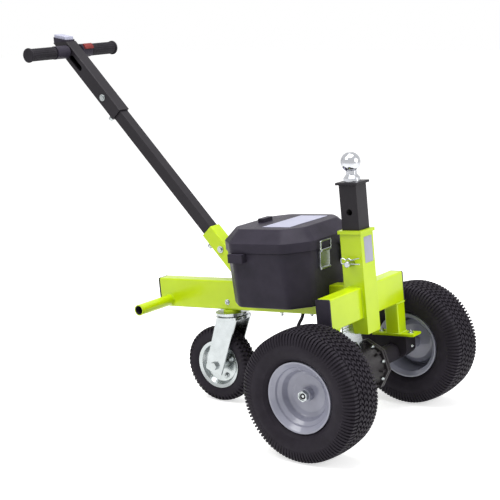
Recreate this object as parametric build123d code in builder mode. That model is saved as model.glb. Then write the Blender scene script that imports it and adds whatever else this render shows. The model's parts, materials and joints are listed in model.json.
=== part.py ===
from build123d import *
import os
from math import atan, cos, degrees, radians, sin, sqrt, tan

os.makedirs("parts", exist_ok=True)

# Stance: the drive axle's place, and the chassis raised at the nose
tyre_r = 162.0
axle_x = 419.41
nose_up = 3.8
half_track = 259.0

# Fits and gaps
seat_gap = 0.3
run_fit = 0.06
slide_gap = 0.3
lid_gap = 1.0

# Chassis tube
tube_w = 40.0
tube_h = 80.0
tube_wall = 3.0
tube_corner = 4.0
beam_bottom = 130.0
beam_top = beam_bottom + tube_h
beam_rear = -643.0
cap_t = 5.0
cap_plug = 18.0

# Front post, collar and ball tube
post_x = 5.0
post_w = 60.0
post_wall = 5.0
post_bottom = 90.0
post_top = 344.0
collar_w = 68.0
collar_h = 8.5
ball_tube_w = post_w - 2 * post_wall - 2 * slide_gap
ball_tube_wall = 5.0
ball_tube_bottom = 160.0
ball_tube_top = 467.0
pin_w = 272.0
pin_r = 7.9
pin_pitch = 63.0
pin_holes = 3
pin_head_r = 12.0
pin_head_t = 7.0
pin_reach = 58.0
clip_r = 1.6
clip_y = 46.0
clip_front = 30.0
clip_rear = 22.0
clip_eye = 16.0
clip_hump = 14.0
clip_dip = 8.0
clip_flare = 15.0
clip_bend = 3.5

# Tow ball
ball_r = 25.4
ball_flat_r = 8.0
ball_plate_w = 62.0
ball_plate_t = 6.0
ball_base_r = 21.5
ball_base_h = 9.0
ball_neck_r = 14.0
ball_shank_r = 9.5
ball_shank_l = 34.0
ball_w = 521.0

# Cross beam and what it stands on
cross_half = 180.0
leg_w = 40.0
leg_y = 158.0
plate_bottom = 44.0
plate_t = 6.0
plate_l = 124.0
plate_b = 42.0
saddle_l = 92.0
saddle_b = 48.0
saddle_bottom = -10.0
saddle_round = 22.0

# Transaxle
axle_tube_r = 24.0
axle_tube_end = 205.0
shaft_r = 10.0
gear_half = 42.0
gear_neck_r = 38.0
gear_bell_r = 57.0
gear_cap_r = 46.0
gear_flange_r = 69.0
gear_flange_t = 16.0
gear_flange_y = 12.0
gear_flange_corners = 8
gear_flange_turn = -7.0
gear_flange_groove = 3.0
gear_rib_t = 6.0
gear_rib_r = 62.0
gear_rib_h = 14.0
motor_r = 50.0
motor_x = -120.0
motor_w = 22.0
motor_l = 110.0
motor_cap_l = 26.0
motor_cap_r = 44.0
motor_round = 4.0
motor_plate_t = 8.0
motor_plate_r = 54.0
lead_r = 4.5
lead_x = -170.0
lead_y = 8.0
lead_in = 20.0
lead_rear = -198.0
lead_slope_w = 84.0
lead_bend = 16.0

# Lift bar across the beam's rear
bar_r = 15.0
bar_wall = 2.5
bar_inset = 34.0
bar_rise = 19.0
bar_half = 154.0

# Handle
handle_lean = 49.4
foot_x = -339.5
socket_w = 40.0
socket_wall = 4.3
socket_l = 178.0
socket_corner = 2.0
inner_w = socket_w - 2 * socket_wall - 2 * slide_gap
inner_wall = 2.0
inner_start = 70.0
inner_end = 730.0
sleeve_start = 606.0
head_rise = 674.0
lock_r = 4.0
lock_washer_r = 9.5
lock_washer_t = 2.5
lock_head_r = 6.5
lock_head_t = 6.5
screw_reach = 38.0
screw_knob_r = 7.0
screw_knob_t = 8.0
slot_t = 806.0
slot_l = 56.0
slot_w = 16.0

# Handlebar
handlebar_t = 850.0
handlebar_r = 11.0
handlebar_half = 168.0
grip_r = 16.5
grip_flange_r = 20.0
grip_flange_t = 6.0
grip_round = 2.0
grip_inner = 75.0
grip_outer = 174.0
bar_switch_inner = 24.0
bar_switch_outer = 72.0
bar_switch_r = 18.5
throttle_inner = 30.0
throttle_outer = 70.0
throttle_r = 19.0
lever_inner = 34.0
lever_outer = 68.0
lever_t = 5.0
lever_low = -32.0
lever_high = 12.0
head_behind = 26.0
head_ahead = 25.0
head_half = 20.0
head_h_rear = 16.0
head_h_front = 4.0
head_round = 7.0
head_panel_t = 8.0
head_panel_margin = 3.0

# Battery box
box_front = -65.0
box_rear = -340.0
box_half = 150.0
box_chamfer = 57.0
box_bottom = 168.0
tub_h = 145.0
skirt_h = 24.0
bevel_h = 33.0
bevel_in = 31.0
lid_corner = 30.0
roof_round = 6.0
tub_inset = 3.0
tub_taper = 10.0
tub_chamfer = 46.0
tub_corner = 28.0
tub_foot_r = 8.0
box_wall = 4.0
channel_gap = 1.0
well_l = 176.0
well_margin = 12.0
recess_l = 22.0
recess_h = 34.0
battery_l = 151.0
battery_b = 65.0
battery_h = 94.0
battery_gap = 1.0
lug_x = -259.0
lug_l = 46.0
lug_h = 22.0
lug_out = 18.0
lug_round = 3.0
latch_y = 50.0
latch_b = 38.0
latch_h = 44.0
latch_t = 6.0
latch_drop = 26.0
lever_plate_b = 42.0
lever_plate_h = 46.0
lever_plate_t = 3.0
lever_curl_r = 3.5
bail_out = 11.0
bail_t = 3.2
bail_b = 48.0
bail_h = 27.0
bail_bend = 5.0
lid_panel_l = 84.0
lid_panel_b = 178.0
lid_panel_t = 1.0
lid_panel_x = -176.0
lid_block_x = -271.0
lid_block_l = 18.0
lid_block_b = 46.0
lid_block_h = 10.0
lid_block_round = 4.0

# Lid hinge
hinge_off = 7.5
hinge_rise = 3.0
hinge_r = 5.0
hinge_pin_r = 2.5
knuckle_l = 20.0
knuckle_gap = 1.0
hinge_y = 24.0
leaf_t = 4.0
leaf_h = 16.0

# Caster
caster_x = -409.0
caster_trail = 52.0
caster_tyre_r = 105.0
caster_half = 24.0
caster_shoulder = 17.0
caster_crown = 3.0
caster_rim_r = 66.0
caster_bead_r = 60.0
caster_lip_t = 3.0
caster_web_half = 6.0
caster_web_r = 50.0
caster_axle_r = 6.0
caster_boss_r = 24.0
caster_boss_h = 7.0
caster_plate_r = 46.0
caster_plate_t = 6.0
race_r = 40.0
race_h = 4.0
race_gap = 1.0
kingpin_r = 8.0
kingpin_head_r = 14.0
kingpin_head_t = 8.0
crown_t = 8.0
crown_r = 46.0
fork_gap = 7.0
fork_t = 5.0
fork_front = 35.0
fork_rear = 28.0
fork_end_b = 54.0
fork_end_l = 40.0
fork_corner = 6.0
caster_head_r = 11.5
caster_head_t = 9.0
caster_hub_r = 17.0
caster_hub_half = 29.0

# Drive wheel
tyre_half = 61.5
tyre_wall_r = 120.0
tread_half = 53.0
tread_drop = 4.0
rim_flange_r = 88.0
rim_half = 47.5
rim_flange_t = 9.0
bead_r = 78.0
rim_wall = 4.0
dish_round = 5.0
hub_r = 17.0
hub_out = 23.0
hub_in = -30.0
nut_af = 24.0
nut_t = 10.0
shaft_out = 30.0
shaft_in = 90.0

# Face of the rim's dish: offset outward from the wheel's middle, radius
rim_dish = [(5.0, 46.0), (10.0, 57.0), (26.0, 63.0), (33.0, 72.0)]

lean = radians(handle_lean)
pitch = radians(nose_up)

# Chassis planes: forward, left and up as the nose is raised
deck = Plane(
    origin=(axle_x, 0, tyre_r),
    x_dir=(cos(pitch), 0, sin(pitch)),
    z_dir=(-sin(pitch), 0, cos(pitch)),
)
deck_side = Plane(deck.location * Plane.XZ.location)
deck_front = Plane(deck.location * Plane.YZ.location)
foot_place = Location((foot_x, 0, beam_top), (0, handle_lean - 90, 0))
handle_foot = Plane(deck.location * foot_place)
handle_side = Plane(handle_foot.location * Plane.XZ.location)
ball_side = Plane(deck.location * Location((post_x, 0, 0)) * Plane.XZ.location)
upright = Axis(deck.origin, deck.z_dir)
post_rear = post_x - post_w / 2
box_mid = (box_front + box_rear) / 2
box_length = box_front - box_rear
tube_mid = beam_bottom + tube_h / 2
bar_x = beam_rear + bar_inset
bar_w = beam_bottom + bar_rise
head_bottom = beam_top + head_rise
plate_top = ball_tube_top + ball_plate_t
caster_axle_x = caster_x - caster_trail
caster_axle_w = (caster_tyre_r - tyre_r - caster_axle_x * sin(pitch)) / cos(pitch)
caster_plate_top = beam_bottom - caster_boss_h
crown_top = caster_plate_top - caster_plate_t - race_h - race_gap
box_part = box_bottom + tub_h
box_lip = box_part + skirt_h
box_top = box_lip + bevel_h
hinge_w = box_part + hinge_rise
latch_w = box_part - latch_drop
head_x = foot_x - head_rise / tan(lean)
fork_inner = caster_half + fork_gap
grip_bore = handlebar_r + seat_gap

# Where the handle is locked: the cross bolt and the thumb screw, along the handle
locks = [(113.0, 149.0), (672.0, 622.0)]
socket_bolt, socket_screw = locks[0]
sleeve_bolt, sleeve_screw = locks[1]


def octagon(length, half, chamfer):
    x, y = length / 2, half
    return [
        (x, y - chamfer),
        (x - chamfer, y),
        (chamfer - x, y),
        (-x, y - chamfer),
        (-x, chamfer - y),
        (chamfer - x, -y),
        (x - chamfer, -y),
        (x, chamfer - y),
    ]


def behind_handle(reach, along):
    return Plane(handle_foot.location * Location((-reach, 0, along)) * Plane.YZ.location)


# Main beam with the boss that carries the caster
with BuildPart() as main_beam:
    with BuildSketch(deck_front.offset(beam_rear + cap_t)):
        with Locations((0, tube_mid)):
            RectangleRounded(tube_w, tube_h, tube_corner)
            Rectangle(tube_w - 2 * tube_wall, tube_h - 2 * tube_wall, mode=Mode.SUBTRACT)
    extrude(amount=post_rear - beam_rear - cap_t)
    with BuildSketch(deck_side):
        with Locations((bar_x, bar_w)):
            Circle(bar_r + seat_gap)
    extrude(amount=tube_w, both=True, mode=Mode.SUBTRACT)
    with BuildSketch(deck.offset(beam_bottom)):
        with Locations((lead_x, -lead_y)):
            Circle(lead_r + seat_gap)
    extrude(amount=2 * tube_wall, both=True, mode=Mode.SUBTRACT)
    with BuildSketch(deck.offset(caster_plate_top)):
        with Locations((caster_x, 0)):
            Circle(caster_boss_r)
    extrude(amount=caster_boss_h)
main_beam.part.label = "main_beam"
export_step(main_beam.part, "parts/main_beam.step")

# Plastic plug in the beam's rear end
with BuildPart() as main_beam_cap:
    with BuildSketch(deck_front.offset(beam_rear)):
        with Locations((0, tube_mid)):
            RectangleRounded(tube_w, tube_h, tube_corner)
    extrude(amount=cap_t)
    with BuildSketch(deck_front.offset(beam_rear + cap_t)):
        with Locations((0, tube_mid)):
            plug_cut = 2 * tube_wall + 2 * seat_gap
            Rectangle(tube_w - plug_cut, tube_h - plug_cut)
    extrude(amount=cap_plug - cap_t)
main_beam_cap.part.label = "main_beam_cap"
export_step(main_beam_cap.part, "parts/main_beam_cap.step")

# Lift bar, an open tube through the beam
with BuildPart() as lift_bar:
    with BuildSketch(deck_side):
        with Locations((bar_x, bar_w)):
            Circle(bar_r)
            Circle(bar_r - bar_wall, mode=Mode.SUBTRACT)
    extrude(amount=bar_half, both=True)
lift_bar.part.label = "lift_bar"
export_step(lift_bar.part, "parts/lift_bar.step")

# Cross beam, one length on each side of the post
with BuildPart() as cross_beam:
    with BuildSketch(deck_side.offset(post_w / 2)):
        with Locations((post_x, tube_mid)):
            RectangleRounded(tube_w, tube_h, tube_corner)
            Rectangle(tube_w - 2 * tube_wall, tube_h - 2 * tube_wall, mode=Mode.SUBTRACT)
    extrude(amount=cross_half - cap_t - post_w / 2)
    mirror(about=deck_side)
cross_beam.part.label = "cross_beam"
export_step(cross_beam.part, "parts/cross_beam.step")

# Plastic plugs in the cross beam's ends
with BuildPart() as cross_beam_caps:
    with BuildSketch(deck_side.offset(cross_half - cap_t)):
        with Locations((post_x, tube_mid)):
            RectangleRounded(tube_w, tube_h, tube_corner)
    extrude(amount=cap_t)
    with BuildSketch(deck_side.offset(cross_half - cap_plug)):
        with Locations((post_x, tube_mid)):
            plug_cut = 2 * tube_wall + 2 * seat_gap
            Rectangle(tube_w - plug_cut, tube_h - plug_cut)
    extrude(amount=cap_plug - cap_t)
    mirror(about=deck_side)
cross_beam_caps.part.label = "cross_beam_caps"
export_step(cross_beam_caps.part, "parts/cross_beam_caps.step")

# Post
with BuildPart() as post:
    with BuildSketch(deck.offset(post_bottom)):
        with Locations((post_x, 0)):
            Rectangle(post_w, post_w)
            Rectangle(post_w - 2 * post_wall, post_w - 2 * post_wall, mode=Mode.SUBTRACT)
    extrude(amount=post_top - post_bottom)
    with BuildSketch(deck_side):
        with Locations((post_x, pin_w)):
            Circle(pin_r + seat_gap)
    extrude(amount=post_w, both=True, mode=Mode.SUBTRACT)
post.part.label = "post"
export_step(post.part, "parts/post.step")

# Collar on the post's top
with BuildPart() as post_collar:
    with BuildSketch(deck.offset(post_top)):
        with Locations((post_x, 0)):
            Rectangle(collar_w, collar_w)
            Rectangle(post_w - 2 * post_wall, post_w - 2 * post_wall, mode=Mode.SUBTRACT)
    extrude(amount=collar_h)
post_collar.part.label = "post_collar"
export_step(post_collar.part, "parts/post_collar.step")

# Ball tube, sliding in the post
with BuildPart() as ball_tube:
    with BuildSketch(deck.offset(ball_tube_bottom)):
        with Locations((post_x, 0)):
            Rectangle(ball_tube_w, ball_tube_w)
            ball_tube_bore = ball_tube_w - 2 * ball_tube_wall
            Rectangle(ball_tube_bore, ball_tube_bore, mode=Mode.SUBTRACT)
    extrude(amount=ball_tube_top - ball_tube_bottom)
    with BuildSketch(deck_side):
        for step in range(pin_holes):
            with Locations((post_x, pin_w + step * pin_pitch)):
                Circle(pin_r + seat_gap)
    extrude(amount=post_w, both=True, mode=Mode.SUBTRACT)
ball_tube.part.label = "ball_tube"
export_step(ball_tube.part, "parts/ball_tube.step")

# Plate on the ball tube
with BuildPart() as ball_plate:
    with BuildSketch(deck.offset(ball_tube_top)):
        with Locations((post_x, 0)):
            Rectangle(ball_plate_w, ball_plate_w)
            Circle(ball_shank_r + seat_gap, mode=Mode.SUBTRACT)
    extrude(amount=ball_plate_t)
ball_plate.part.label = "ball_plate"
export_step(ball_plate.part, "parts/ball_plate.step")

# Tow ball with its flange and shank
with BuildPart() as tow_ball:
    with BuildSketch(ball_side):
        with BuildLine():
            neck_w = ball_w - sqrt(ball_r**2 - ball_neck_r**2)
            flat_w = ball_w + sqrt(ball_r**2 - ball_flat_r**2)
            shank_w = plate_top - ball_shank_l
            Polyline(
                (0, flat_w),
                (0, shank_w),
                (ball_shank_r, shank_w),
                (ball_shank_r, plate_top),
                (ball_base_r, plate_top),
                (ball_base_r, plate_top + ball_base_h),
                (ball_neck_r, plate_top + 2 * ball_base_h),
                (ball_neck_r, neck_w),
            )
            ThreePointArc((ball_neck_r, neck_w), (ball_r, ball_w), (ball_flat_r, flat_w))
            Line((ball_flat_r, flat_w), (0, flat_w))
        make_face()
    revolve(axis=Axis(ball_side.origin, ball_side.y_dir))
tow_ball.part.label = "tow_ball"
export_step(tow_ball.part, "parts/tow_ball.step")

# Hitch pin through the post and the ball tube, and the spring clip through its end
with BuildPart() as hitch_pin:
    with BuildSketch(deck_side.offset(-post_w / 2 - seat_gap)):
        with Locations((post_x, pin_w)):
            Circle(pin_r)
    extrude(amount=pin_reach + post_w / 2 + seat_gap)
    with BuildSketch(deck_side.offset(-post_w / 2 - seat_gap - pin_head_t)):
        with Locations((post_x, pin_w)):
            Circle(pin_head_r)
    extrude(amount=pin_head_t)
    chamfer(hitch_pin.faces().sort_by(Axis.Y)[0].edges(), clip_r)
    with BuildSketch(deck_front.offset(post_x)):
        with Locations((-clip_y, pin_w)):
            Circle(clip_r + seat_gap)
    extrude(amount=post_w, both=True, mode=Mode.SUBTRACT)
    with BuildLine(deck_side.offset(clip_y)) as clip_path:
        FilletPolyline(
            (post_x + clip_front, pin_w),
            (post_x - clip_rear, pin_w),
            (post_x - clip_rear, pin_w + clip_eye),
            (post_x - pin_r, pin_w + clip_dip + clip_r),
            (post_x, pin_w + clip_hump),
            (post_x + pin_r, pin_w + clip_dip + clip_r),
            (post_x + clip_front, pin_w + clip_flare),
            radius=clip_bend,
        )
    with BuildSketch(Plane(origin=clip_path.line @ 0, z_dir=clip_path.line % 0)):
        Circle(clip_r)
    sweep(path=clip_path.line)
hitch_pin.part.label = "hitch_pin"
export_step(hitch_pin.part, "parts/hitch_pin.step")

# Legs under the cross beam's ends, welded to their plates
with BuildPart() as axle_legs:
    with BuildSketch(deck.offset(plate_bottom + plate_t)):
        with Locations((post_x, -leg_y)):
            RectangleRounded(leg_w, leg_w, tube_corner)
            Rectangle(leg_w - 2 * tube_wall, leg_w - 2 * tube_wall, mode=Mode.SUBTRACT)
    extrude(amount=beam_bottom - plate_bottom - plate_t)
    with BuildSketch(deck.offset(plate_bottom)):
        with Locations((post_x, -leg_y)):
            Rectangle(plate_l, plate_b)
    extrude(amount=plate_t)
    mirror(about=deck_side)
axle_legs.part.label = "axle_legs"
export_step(axle_legs.part, "parts/axle_legs.step")

# Saddles that hold the axle tubes under the plates, rounded below
with BuildPart() as axle_saddles:
    with BuildSketch(deck_side.offset(leg_y - saddle_b / 2)):
        with Locations((0, (plate_bottom + saddle_bottom) / 2)):
            Rectangle(saddle_l, plate_bottom - saddle_bottom)
        fillet(vertices().sort_by(Axis.Y)[:2], saddle_round)
        Circle(axle_tube_r + seat_gap, mode=Mode.SUBTRACT)
    extrude(amount=saddle_b)
    mirror(about=deck_side)
axle_saddles.part.label = "axle_saddles"
export_step(axle_saddles.part, "parts/axle_saddles.step")

# Gear housing: ribbed bell, grooved flange, cap on the far side and the plate that carries the motor
gear_near = gear_flange_y - gear_flange_t
with BuildPart() as gear_housing:
    with BuildSketch(deck_front):
        Polygon(
            (-gear_half, 0),
            (-gear_half, gear_neck_r),
            (gear_near, gear_bell_r),
            (gear_flange_y, gear_bell_r),
            (gear_flange_y, gear_cap_r),
            (gear_half, gear_neck_r),
            (gear_half, 0),
            align=None,
        )
    revolve(axis=Axis(deck_front.origin, deck_front.x_dir))
    with BuildSketch(deck_side.offset(-gear_flange_y)):
        RegularPolygon(gear_flange_r, gear_flange_corners, rotation=gear_flange_turn)
    extrude(amount=gear_flange_t)
    with BuildSketch(deck_side.offset(-(gear_flange_y + gear_near + gear_flange_groove) / 2)):
        RegularPolygon(gear_flange_r, gear_flange_corners, rotation=gear_flange_turn)
        groove_r = gear_flange_r - gear_flange_groove
        RegularPolygon(groove_r, gear_flange_corners, rotation=gear_flange_turn, mode=Mode.SUBTRACT)
    extrude(amount=gear_flange_groove, mode=Mode.SUBTRACT)
    with BuildSketch(deck_side.offset(-gear_near)):
        with PolarLocations(gear_rib_r / 2, gear_flange_corners, start_angle=gear_flange_turn):
            Rectangle(gear_rib_r, gear_rib_t)
    extrude(amount=gear_rib_h)
    with BuildSketch(deck_side.offset(-gear_flange_y)):
        Circle(gear_bell_r)
        with Locations((motor_x, motor_w)):
            Circle(motor_plate_r)
        make_hull()
    extrude(amount=motor_plate_t)
gear_housing.part.label = "gear_housing"
export_step(gear_housing.part, "parts/gear_housing.step")

# Axle tubes with the shafts' bearings
with BuildPart() as axle_tubes:
    with BuildSketch(deck_side.offset(gear_half)):
        Circle(axle_tube_r)
        Circle(shaft_r + run_fit, mode=Mode.SUBTRACT)
    extrude(amount=axle_tube_end - gear_half)
    mirror(about=deck_side)
axle_tubes.part.label = "axle_tubes"
export_step(axle_tubes.part, "parts/axle_tubes.step")

# Motor with its end cap
with BuildPart() as motor:
    with BuildSketch(deck_side.offset(motor_plate_t - gear_flange_y)):
        with Locations((motor_x, motor_w)):
            Circle(motor_r)
    extrude(amount=motor_l - motor_cap_l)
    with BuildSketch(deck_side.offset(motor_plate_t - gear_flange_y)):
        with Locations((motor_x, motor_w)):
            Circle(motor_cap_r)
    extrude(amount=motor_l)
    fillet(motor.faces().sort_by(Axis.Y)[0].edges(), motor_round)
motor.part.label = "motor"
export_step(motor.part, "parts/motor.step")

# Lead from the beam down to the motor
with BuildPart() as motor_lead:
    with BuildLine(deck_side.offset(lead_y)) as lead_path:
        FilletPolyline(
            (lead_x, beam_bottom + lead_in),
            (lead_x, beam_bottom - lead_r),
            (lead_rear, lead_slope_w),
            (lead_rear, motor_w),
            (motor_x - motor_r, motor_w),
            radius=lead_bend,
        )
    with BuildSketch(deck.offset(beam_bottom + lead_in)):
        with Locations((lead_x, -lead_y)):
            Circle(lead_r)
    sweep(path=lead_path.line)
motor_lead.part.label = "motor_lead"
export_step(motor_lead.part, "parts/motor_lead.step")

# Handle socket, cut to the beam's top
with BuildPart() as handle_socket:
    with BuildSketch(handle_foot.offset(-socket_w)):
        RectangleRounded(socket_w, socket_w, socket_corner)
        Rectangle(socket_w - 2 * socket_wall, socket_w - 2 * socket_wall, mode=Mode.SUBTRACT)
    extrude(amount=socket_w + socket_l)
    with BuildSketch(handle_side):
        with Locations((0, socket_bolt)):
            Circle(lock_r + seat_gap)
    extrude(amount=socket_w, both=True, mode=Mode.SUBTRACT)
    with BuildSketch(behind_handle(socket_w, socket_screw)):
        Circle(lock_r + seat_gap)
    extrude(amount=socket_w, mode=Mode.SUBTRACT)
    split(bisect_by=deck.offset(beam_top), keep=Keep.TOP)
handle_socket.part.label = "handle_socket"
export_step(handle_socket.part, "parts/handle_socket.step")

# Inner handle tube
with BuildPart() as handle_tube:
    with BuildSketch(handle_foot.offset(inner_start)):
        Rectangle(inner_w, inner_w)
        Rectangle(inner_w - 2 * inner_wall, inner_w - 2 * inner_wall, mode=Mode.SUBTRACT)
    extrude(amount=inner_end - inner_start)
    with BuildSketch(handle_side):
        for bolt_t, screw_t in locks:
            with Locations((0, bolt_t)):
                Circle(lock_r + seat_gap)
    extrude(amount=socket_w, both=True, mode=Mode.SUBTRACT)
handle_tube.part.label = "handle_tube"
export_step(handle_tube.part, "parts/handle_tube.step")

# Outer handle sleeve, cut level under the head
with BuildPart() as handle_sleeve:
    with BuildSketch(handle_foot.offset(sleeve_start)):
        RectangleRounded(socket_w, socket_w, socket_corner)
        Rectangle(socket_w - 2 * socket_wall, socket_w - 2 * socket_wall, mode=Mode.SUBTRACT)
    extrude(amount=head_bottom)
    with BuildSketch(handle_side):
        with Locations((0, sleeve_bolt)):
            Circle(lock_r + seat_gap)
        with Locations((0, handlebar_t)):
            Circle(grip_bore)
    extrude(amount=socket_w, both=True, mode=Mode.SUBTRACT)
    with BuildSketch(handle_side):
        with Locations((0, slot_t)):
            SlotOverall(slot_l, slot_w, rotation=90)
    extrude(amount=socket_w, mode=Mode.SUBTRACT)
    with BuildSketch(behind_handle(socket_w, sleeve_screw)):
        Circle(lock_r + seat_gap)
    extrude(amount=socket_w, mode=Mode.SUBTRACT)
    split(bisect_by=deck.offset(head_bottom), keep=Keep.BOTTOM)
handle_sleeve.part.label = "handle_sleeve"
export_step(handle_sleeve.part, "parts/handle_sleeve.step")

# Cross bolts and thumb screws that lock the handle
with BuildPart() as handle_locks:
    for bolt_t, screw_t in locks:
        with BuildSketch(handle_side):
            with Locations((0, bolt_t)):
                Circle(lock_r)
        extrude(amount=socket_w / 2 + lock_washer_t, both=True)
        with BuildSketch(handle_side.offset(socket_w / 2)):
            with Locations((0, bolt_t)):
                Circle(lock_washer_r)
        extrude(amount=lock_washer_t)
        with BuildSketch(handle_side.offset(socket_w / 2)):
            with Locations((0, bolt_t)):
                RegularPolygon(lock_head_r, 6)
        extrude(amount=lock_head_t)
        with BuildSketch(handle_side.offset(-socket_w / 2 - lock_head_t)):
            with Locations((0, bolt_t)):
                RegularPolygon(lock_head_r, 6)
        extrude(amount=lock_head_t)
        with BuildSketch(behind_handle(screw_reach, screw_t)):
            Circle(lock_r)
        extrude(amount=screw_reach - inner_w / 2)
        with BuildSketch(behind_handle(screw_reach, screw_t)):
            Circle(screw_knob_r)
        extrude(amount=screw_knob_t)
handle_locks.part.label = "handle_locks"
export_step(handle_locks.part, "parts/handle_locks.step")

# Handlebar
with BuildPart() as handlebar:
    with BuildSketch(handle_side):
        with Locations((0, handlebar_t)):
            Circle(handlebar_r)
    extrude(amount=handlebar_half, both=True)
handlebar.part.label = "handlebar"
export_step(handlebar.part, "parts/handlebar.step")

# Grips with their end flanges
with BuildPart() as grips:
    with BuildSketch(handle_side.offset(grip_inner)):
        with Locations((0, handlebar_t)):
            Circle(grip_r)
    extrude(amount=grip_outer - grip_inner)
    with BuildSketch(handle_side.offset(grip_outer - grip_flange_t)):
        with Locations((0, handlebar_t)):
            Circle(grip_flange_r)
    extrude(amount=grip_flange_t)
    fillet(grips.edges().filter_by(GeomType.CIRCLE).group_by(SortBy.RADIUS)[-1], grip_round)
    with BuildSketch(handle_side.offset(grip_inner)):
        with Locations((0, handlebar_t)):
            Circle(grip_bore)
    extrude(amount=handlebar_half + seat_gap - grip_inner, mode=Mode.SUBTRACT)
    mirror(about=handle_side)
grips.part.label = "grips"
export_step(grips.part, "parts/grips.step")

# Switch housing on the right and throttle on the left
with BuildPart() as bar_controls:
    with BuildSketch(handle_side.offset(bar_switch_inner)):
        with Locations((0, handlebar_t)):
            Circle(bar_switch_r)
            Circle(grip_bore, mode=Mode.SUBTRACT)
    extrude(amount=bar_switch_outer - bar_switch_inner)
    with BuildSketch(handle_side.offset(-throttle_outer)):
        with Locations((0, handlebar_t)):
            Circle(throttle_r)
            Circle(grip_bore, mode=Mode.SUBTRACT)
    extrude(amount=throttle_outer - throttle_inner)
bar_controls.part.label = "bar_controls"
export_step(bar_controls.part, "parts/bar_controls.step")

# Thumb lever round the throttle
with BuildPart() as throttle_lever:
    with BuildSketch(handle_side.offset(-lever_outer)):
        with Locations((0, handlebar_t)):
            Circle(throttle_r + lever_t)
            Circle(throttle_r, mode=Mode.SUBTRACT)
            wedge_r = 2 * (throttle_r + lever_t)
            low, high = radians(lever_low), radians(lever_high)
            Polygon(
                (0, 0),
                (wedge_r * cos(low), wedge_r * sin(low)),
                (wedge_r * cos(high), wedge_r * sin(high)),
                align=None,
                mode=Mode.INTERSECT,
            )
    extrude(amount=lever_outer - lever_inner)
throttle_lever.part.label = "throttle_lever"
export_step(throttle_lever.part, "parts/throttle_lever.step")

# Head on the handle's end
head_rear = head_x - head_behind
head_front = head_x + head_ahead
with BuildPart() as handle_head:
    with BuildSketch(deck_side):
        Polygon(
            (head_rear, head_bottom),
            (head_front, head_bottom),
            (head_front, head_bottom + head_h_front),
            (head_rear, head_bottom + head_h_rear),
            align=None,
        )
    extrude(amount=head_half, both=True)
    fillet(handle_head.edges().filter_by(upright), head_round)
handle_head.part.label = "handle_head"
export_step(handle_head.part, "parts/handle_head.step")

# Pale panel on the head
with BuildPart() as head_panel:
    with BuildSketch(deck_side):
        head_slope = (head_h_rear - head_h_front) / (head_front - head_rear)
        panel_rear = head_rear + head_panel_margin
        panel_front = head_front - head_panel_margin
        panel_rear_w = head_bottom + head_h_rear - head_slope * head_panel_margin
        panel_front_w = head_bottom + head_h_front + head_slope * head_panel_margin
        Polygon(
            (panel_rear, panel_rear_w),
            (panel_front, panel_front_w),
            (panel_front, panel_front_w + head_panel_t),
            (panel_rear, panel_rear_w + head_panel_t),
            align=None,
        )
    extrude(amount=head_half - head_panel_margin, both=True)
    fillet(head_panel.edges().filter_by(upright), head_round - head_panel_margin)
head_panel.part.label = "head_panel"
export_step(head_panel.part, "parts/head_panel.step")

# Battery tub astride the main beam, with side lugs and a recess for the handle socket
tub_top = box_part - lid_gap
tub_half = box_half - tub_inset
tub_l = box_length - 2 * tub_inset
ridge_half = tube_w / 2 + channel_gap + box_wall
ridge_top = beam_top + box_wall
ridge_share = (tub_top - ridge_top) / (tub_top - box_bottom)
ridge_inset = tub_taper * ridge_share + box_wall
corner_share = 2 - sqrt(2)
well_b = tub_half - tub_taper - well_margin - ridge_half
with BuildPart() as battery_tub:
    with BuildSketch(deck.offset(box_bottom)):
        with Locations((box_mid, 0)):
            Polygon(*octagon(tub_l - 2 * tub_taper, tub_half - tub_taper, tub_chamfer), align=None)
        fillet(vertices(), tub_corner)
    with BuildSketch(deck.offset(tub_top)):
        with Locations((box_mid, 0)):
            Polygon(*octagon(tub_l, tub_half, box_chamfer), align=None)
        fillet(vertices(), tub_corner)
    loft(ruled=True)
    fillet(battery_tub.faces().sort_by(upright)[0].edges(), tub_foot_r)
    with BuildSketch(deck.offset(tub_top)):
        for lug_side in (-1, 1):
            with Locations((lug_x, lug_side * (tub_half + (lug_out - box_wall) / 2))):
                RectangleRounded(lug_l, lug_out + box_wall, lug_round)
    extrude(amount=-lug_h)
    with BuildSketch(deck.offset(ridge_top)):
        with Locations((box_mid, 0)):
            ridge_chamfer = box_chamfer - (box_chamfer - tub_chamfer) * ridge_share
            cavity_chamfer = ridge_chamfer - box_wall * corner_share
            Polygon(*octagon(tub_l - 2 * ridge_inset, tub_half - ridge_inset, cavity_chamfer), align=None)
        fillet(vertices(), tub_corner - box_wall)
    with BuildSketch(deck.offset(tub_top)):
        with Locations((box_mid, 0)):
            mouth_chamfer = box_chamfer - box_wall * corner_share
            Polygon(*octagon(tub_l - 2 * box_wall, tub_half - box_wall, mouth_chamfer), align=None)
        fillet(vertices(), tub_corner - box_wall)
    loft(ruled=True, mode=Mode.SUBTRACT)
    with BuildSketch(deck.offset(box_bottom + box_wall)):
        with Locations((box_mid, ridge_half + well_b / 2), (box_mid, -ridge_half - well_b / 2)):
            Rectangle(well_l, well_b)
    extrude(amount=ridge_top - box_bottom - box_wall, mode=Mode.SUBTRACT)
    with BuildSketch(deck.offset(ridge_top)):
        with Locations((box_rear + tub_inset + ridge_inset + recess_l / 2, 0)):
            Rectangle(recess_l, socket_w + 2 * box_wall)
    extrude(amount=recess_h)
    with BuildSketch(handle_foot.offset(-socket_w)):
        Rectangle(socket_w + 2 * channel_gap, socket_w + 2 * channel_gap)
    extrude(amount=socket_w + socket_l, mode=Mode.SUBTRACT)
    with BuildSketch(deck_front.offset(box_rear)):
        with Locations((0, (box_bottom + beam_top) / 2)):
            Rectangle(tube_w + 2 * channel_gap, beam_top - box_bottom)
    extrude(amount=box_length, mode=Mode.SUBTRACT)
battery_tub.part.label = "battery_tub"
export_step(battery_tub.part, "parts/battery_tub.step")

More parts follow.
